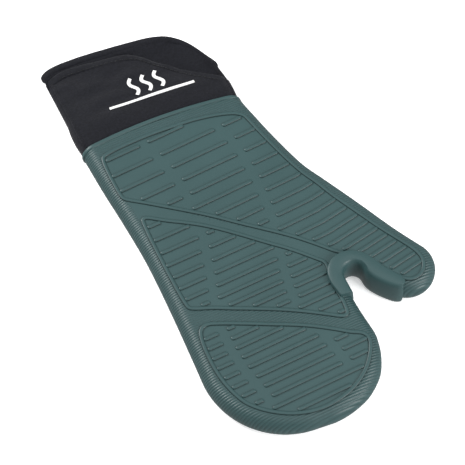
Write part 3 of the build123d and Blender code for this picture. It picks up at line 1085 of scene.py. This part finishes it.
@dataclass
class Studio:
    """The camera, the pale floor and the soft lights."""

    elevation: float = 62.0
    azimuth: float = -26.0
    distance: float = 1.2
    focal_px: float = 1500.0
    picture_px: float = 465.0
    sensor: float = 36.0

    def camera(self) -> None:
        """Set up the camera, aimed at the middle of the hand."""
        a, e = math.radians(self.azimuth), math.radians(self.elevation)
        back = Vector((math.sin(a) * math.cos(e), -math.cos(a) * math.cos(e), math.sin(e)))
        data = bpy.data.cameras.new("studio_camera")
        data.sensor_width = self.sensor
        data.lens = self.focal_px / self.picture_px * self.sensor
        data.clip_end = 20
        camera = bpy.data.objects.new("studio_camera", data)
        bpy.context.scene.collection.objects.link(camera)
        camera.location = to_frame(0, 0, 0) + back * self.distance
        camera.rotation_euler = back.to_track_quat("Z", "Y").to_euler()
        bpy.context.scene.camera = camera

    def floor(self) -> None:
        """Lay a pale seamless floor."""
        bpy.ops.object.select_all(action="DESELECT")
        bpy.ops.mesh.primitive_plane_add(size=8, location=(0, 0, -0.0003))
        floor = bpy.context.active_object
        floor.name = "studio_floor"
        material, _, shader = blank_material("studio_paper")
        shader.inputs["Base Color"].default_value = linear("FAFAFA")
        shader.inputs["Roughness"].default_value = 0.9
        shader.inputs["Emission Color"].default_value = (1, 1, 1, 1)
        shader.inputs["Emission Strength"].default_value = 0.35
        floor.data.materials.append(material)
        floor.visible_glossy = False
        floor.select_set(False)

    def light(self, name: str, place: Point3, size: float, power: float) -> None:
        """Hang a square soft light aimed at the mitt."""
        data = bpy.data.lights.new(name, "AREA")
        data.shape = "SQUARE"
        data.size = size
        data.energy = power
        lamp = bpy.data.objects.new(name, data)
        bpy.context.scene.collection.objects.link(lamp)
        lamp.location = place
        lamp.rotation_euler = Vector(place).to_track_quat("Z", "Y").to_euler()

    def lights(self) -> None:
        """Set the lights and the pale surroundings."""
        self.light("key_softbox", (-0.95, 1.4, 1.0), 0.7, 44.0)
        self.light("fill_softbox", (1.3, -0.5, 1.5), 1.4, 8.0)
        self.light("front_softbox", (0.9, -1.5, 0.8), 0.8, 32.0)
        self.light("top_softbox", (0.0, 0.0, 2.2), 1.8, 12.0)
        world = bpy.data.worlds.new("studio_surround")
        bpy.context.scene.world = world
        world.use_nodes = True
        world.node_tree.nodes["Background"].inputs["Color"].default_value = (1, 1, 1, 1)
        world.node_tree.nodes["Background"].inputs["Strength"].default_value = 0.5
        bpy.context.scene.view_settings.view_transform = "Standard"


@dataclass
class Mitt:
    """The whole mitt: builds its pieces, dresses them and ties the cuff's pieces to the hand's body."""

    pattern: Pattern
    finishes: dict[str, bpy.types.Material] = field(default_factory=dict)

    def dress(self, piece: Piece, *names: str) -> Piece:
        """Give a piece its materials."""
        for name in names:
            piece.data.materials.append(self.finishes[name])
        return piece

    def bend(self, piece: Piece, part: Part) -> None:
        """Bake a soft piece's place into its mesh; either side of the cut line gets the same."""
        if part is Part.SLEEVE:
            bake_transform(piece)
        else:
            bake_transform(piece)

    def note(self, piece: Piece) -> None:
        """Log a finished piece."""
        LOG.info("%s: %d points", piece.name, len(piece.data.vertices))

    def build_shell(self, section: WristSection) -> None:
        """The silicone moulding."""
        shell = SiliconeShell(self.pattern, panels=self.pattern.panels())
        skins = shell.skin(0.0, "shell")
        for part, skin in skins.items():
            self.dress(skin, "silicone", "silicone_ribbed")
            thicken(skin, shell.wall)
            crisp(skin)
            ribs = self.dress(shell.ribs(f"ribs_{part.value}", part), "silicone")
            pieces = [skin, ribs]
            if part is Part.SLEEVE:
                pieces.append(self.dress(shell.rim("wrist_rim", section), "silicone"))
            whole = join(pieces, f"silicone_{part.value}")
            self.bend(whole, part)
            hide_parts(*(["shell_hand", "shell_thumb"] if part is Part.SLEEVE else ["shell_fingers"]))
            self.note(whole)
        bumper = self.dress(shell.bumper("crotch_bumper"), "silicone")
        self.bend(bumper, Part.SLEEVE)
        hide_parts("bumper_hand", "bumper_thumb")
        self.note(bumper)
        for name, inset, thickness, fill in (("wadding", 2.3, 2.6, 0.5), ("lining", 5.4, 0.7, 0.3)):
            for part, skin in shell.skin(inset, name, 6.0, False).items():
                self.dress(skin, name)
                thicken(skin, thickness)
                self.bend(skin, part)
                bodies = ["hand", "thumb"] if part is Part.SLEEVE else ["fingers"]
                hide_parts(*[f"{name}_{side}_{body}" for side in ("back", "palm") for body in bodies])
                self.note(skin)

    def build_cuff(self, section: WristSection) -> None:
        """The cotton cuff."""
        cuff = FabricCuff(self.pattern, section)
        start = self.pattern.rim + cuff.start

        def lip(x: float) -> float:
            """Where the back panel ends."""
            return value_at(cuff.lip, x)

        def mouth(x: float) -> float:
            """Where the palm panel ends."""
            return value_at(cuff.mouth, x)

        back = cuff.panel("cuff_back_panel", True, lambda x: start, lip, 64)
        palm = cuff.panel("cuff_palm_panel", False, lambda x: start, mouth, 72)
        mark = cuff.mark("printed_heat_mark", back)
        hem_palm = cuff.band(
            "cuff_palm_hem", False, lambda x: mouth(x) - cuff.hem, lambda x: mouth(x) + 0.8, 4.2, -0.6
        )
        hem_back = cuff.band(
            "cuff_back_hem", True, lambda x: lip(x) - cuff.hem, lambda x: lip(x) + 0.6, 1.8, -1.7
        )
        for piece in (back, palm):
            thicken(piece, cuff.ply)
        back_row = cuff.row_of_stitches("hem_stitches_back", True, lambda x: lip(x) - 6.0, -72, 47)
        palm_row = cuff.row_of_stitches("hem_stitches_palm", False, lambda x: mouth(x) - 5.6, -72, 50)
        table = [
            (back, "cotton", "cuff_fabric", ["cuff_back"], (0.155, 0.078)),
            (palm, "cotton", "cuff_fabric", ["cuff_palm"], (0.155, 0.100)),
            (hem_palm, "cotton", "cuff_fabric", ["hem_palm"], (0.165, 0.010)),
            (hem_back, "cotton", "cuff_fabric", ["hem_back"], (0.155, 0.010)),
        ]
        for piece, finish, slot, nodes, flat in table:
            self.dress(piece, finish)
            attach(piece, "hand")
            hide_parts(*nodes)
            self.note(piece)
        little = cuff.seam("side_seam_little_ridge", -77.0, 190.0)
        thumb = cuff.seam("side_seam_thumb_ridge", 53.0, 126.0)
        trims = [
            (little, "cotton", "cuff_fabric", "side_seam_little"),
            (thumb, "cotton", "cuff_fabric", "side_seam_thumb"),
            (back_row, "thread", "thread", "hem_stitching_back"),
            (palm_row, "thread", "thread", "hem_stitching_palm"),
            (mark, "ink", "print", "heat_mark"),
        ]
        for piece, finish, slot, node in trims:
            self.dress(piece, finish)
            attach(piece, "hand")
            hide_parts(node)
            self.note(piece)

    def build(self) -> None:
        """Build everything in order."""
        silicone = MouldedSilicone()
        self.finishes = {
            "silicone": silicone.build(False),
            "silicone_ribbed": silicone.build(True),
            "cotton": WovenCotton().build(),
            "thread": WovenCotton("spun_polyester_thread", "17181B", "0F1012", 0.3, 0.2, 0.0).build(),
            "lining": WovenCotton("quilted_cotton_lining", "26272A", "1B1C1F", 1.2, 0.3, 0.3).build(),
            "wadding": WovenCotton("needled_felt_wadding", "DAD7CF", "C6C2B8", 1.6, 0.3, 0.6).build(),
            "ink": PrintedInk().build(),
        }
        section = WristSection()
        self.build_shell(section)
        self.build_cuff(section)


def corners(box: tuple[Vector, Vector]) -> list[list[float]]:
    """A box as plain lists."""
    return [[float(c) for c in corner] for corner in box]


def main() -> None:
    """Build the scene."""
    logging.basicConfig(level=logging.INFO)
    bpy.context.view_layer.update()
    studio = Studio()
    studio.camera()
    studio.floor()
    studio.lights()
    Mitt(Pattern()).build()


if __name__ == "__main__":
    main()
